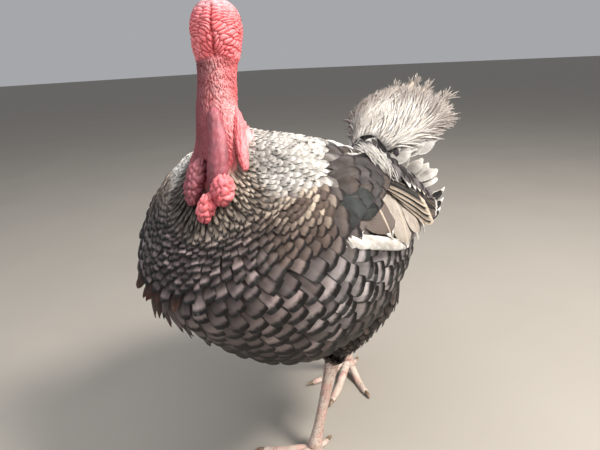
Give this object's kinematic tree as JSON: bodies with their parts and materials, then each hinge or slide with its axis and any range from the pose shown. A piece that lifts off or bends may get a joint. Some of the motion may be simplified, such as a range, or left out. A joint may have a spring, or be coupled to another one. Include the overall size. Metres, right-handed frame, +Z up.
{
  "type": "domestic turkey",
  "caption": "Life-size adult tom of the domestic turkey in a slow walk, head turned back over its right shoulder, tail raised and half spread, dark mottled plumage.",
  "frame": {"origin": "on the floor, below the centre of the whole bird's bounding box", "axes": "+Z up, the body faces -Y, the bird's left side is +X"},
  "size_m": [0.3312, 0.561, 0.6738],
  "materials": {
    "plumage": "dark bronze-black body feathers with pale edges, mottled white on the neck",
    "quills": "grey-brown flight feathers with white tips and bars",
    "white": "soft white tail feathers with faint grey-brown bars",
    "skin": "bare wrinkled pink-red skin, paler on the crown",
    "scales": "scaled pinkish-grey leg skin",
    "horn": "smooth worn horn of bill, claws and spurs",
    "eye": "wet glossy dark brown eye"
  },
  "bodies": {
    "root": {"bill_lower": "horn", "bill_upper": "horn", "caruncle_left": "skin", "caruncle_low": "skin", "caruncle_right": "skin", "claw_left_hind": "horn", "claw_left_inner": "horn", "claw_left_middle": "horn", "claw_left_outer": "horn", "claw_right_hind": "horn", "claw_right_inner": "horn", "claw_right_middle": "horn", "claw_right_outer": "horn", "dewlap": "skin", "eye_left": "eye", "eye_right": "eye", "flight_feathers_left": "quills", "flight_feathers_right": "quills", "head": "skin", "neck": "skin", "neck_flap": "skin", "shank_left": "scales", "shank_right": "scales", "snood": "skin", "spur_left": "horn", "spur_right": "horn", "tail": "white", "tail_coverts_under": "white", "tail_coverts_upper": "plumage", "thigh_left": "plumage", "thigh_right": "plumage", "toe_left_hind": "scales", "toe_left_inner": "scales", "toe_left_middle": "scales", "toe_left_outer": "scales", "toe_right_hind": "scales", "toe_right_inner": "scales", "toe_right_middle": "scales", "toe_right_outer": "scales", "trunk": "plumage", "wing_left": "plumage", "wing_right": "plumage"}
  },
  "joints": []
}
